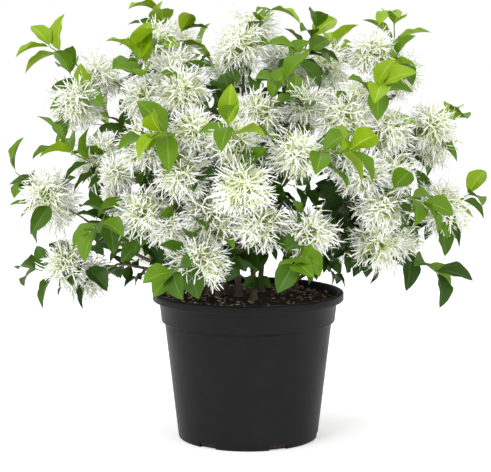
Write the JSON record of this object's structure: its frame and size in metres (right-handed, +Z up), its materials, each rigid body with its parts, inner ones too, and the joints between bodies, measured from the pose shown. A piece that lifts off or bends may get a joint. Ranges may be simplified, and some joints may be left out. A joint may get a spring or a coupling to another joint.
{
  "type": "potted fringe tree",
  "caption": "Flowering fringe tree in a round nursery pot: bare stems fork into a rounded crown of green leaves and drooping mops of white fringed blossom.",
  "frame": {"origin": "centre of the pot's flat underside, on the ground", "axes": "+Z up; +X to the right side of the front view; +Y towards the back, so the front faces -Y"},
  "size_m": [0.6973, 0.6587, 0.64],
  "materials": {
    "pot_plastic": "satin black moulded plastic",
    "potting_mix": "moist potting mix with bark chips",
    "bark": "thin grey-brown bark",
    "foliage": "green leaves and white petals"
  },
  "bodies": {
    "root": {"bough_back_low_left": "bark", "bough_back_mid": "bark", "bough_back_mid_right": "bark", "bough_back_upper_left": "bark", "bough_back_upper_right": "bark", "bough_front_left": "bark", "bough_front_low_left": "bark", "bough_front_low_right": "bark", "bough_front_right": "bark", "bough_front_right_mid": "bark", "bough_front_upper_left": "bark", "bough_left_mid": "bark", "bough_right_upper": "bark", "bough_top_left": "bark", "bough_upper_left": "bark", "bough_upper_mid": "bark", "bough_upper_right": "bark", "foliage_back_low_left": "foliage", "foliage_back_low_right": "foliage", "foliage_back_mid": "foliage", "foliage_back_mid_left": "foliage", "foliage_back_mid_right": "foliage", "foliage_back_upper_left": "foliage", "foliage_back_upper_right": "foliage", "foliage_foot_left": "foliage", "foliage_foot_right": "foliage", "foliage_front_left": "foliage", "foliage_front_low_left": "foliage", "foliage_front_low_right": "foliage", "foliage_front_mid": "foliage", "foliage_front_right": "foliage", "foliage_front_right_mid": "foliage", "foliage_front_upper_left": "foliage", "foliage_left_low": "foliage", "foliage_left_mid": "foliage", "foliage_left_shoulder": "foliage", "foliage_left_skirt": "foliage", "foliage_right_low": "foliage", "foliage_right_skirt": "foliage", "foliage_right_upper": "foliage", "foliage_top": "foliage", "foliage_top_left": "foliage", "foliage_top_right": "foliage", "foliage_top_right_mid": "foliage", "foliage_upper_left": "foliage", "foliage_upper_mid": "foliage", "foliage_upper_right": "foliage", "pot": "pot_plastic", "potting_mix": "potting_mix", "stem_back_left": "bark", "stem_front": "bark", "stem_left": "bark", "stem_left_low": "bark", "stem_left_upright": "bark", "stem_middle": "bark", "stem_middle_back": "bark", "stem_right": "bark", "stem_right_back": "bark", "stem_right_low": "bark"}
  },
  "joints": []
}
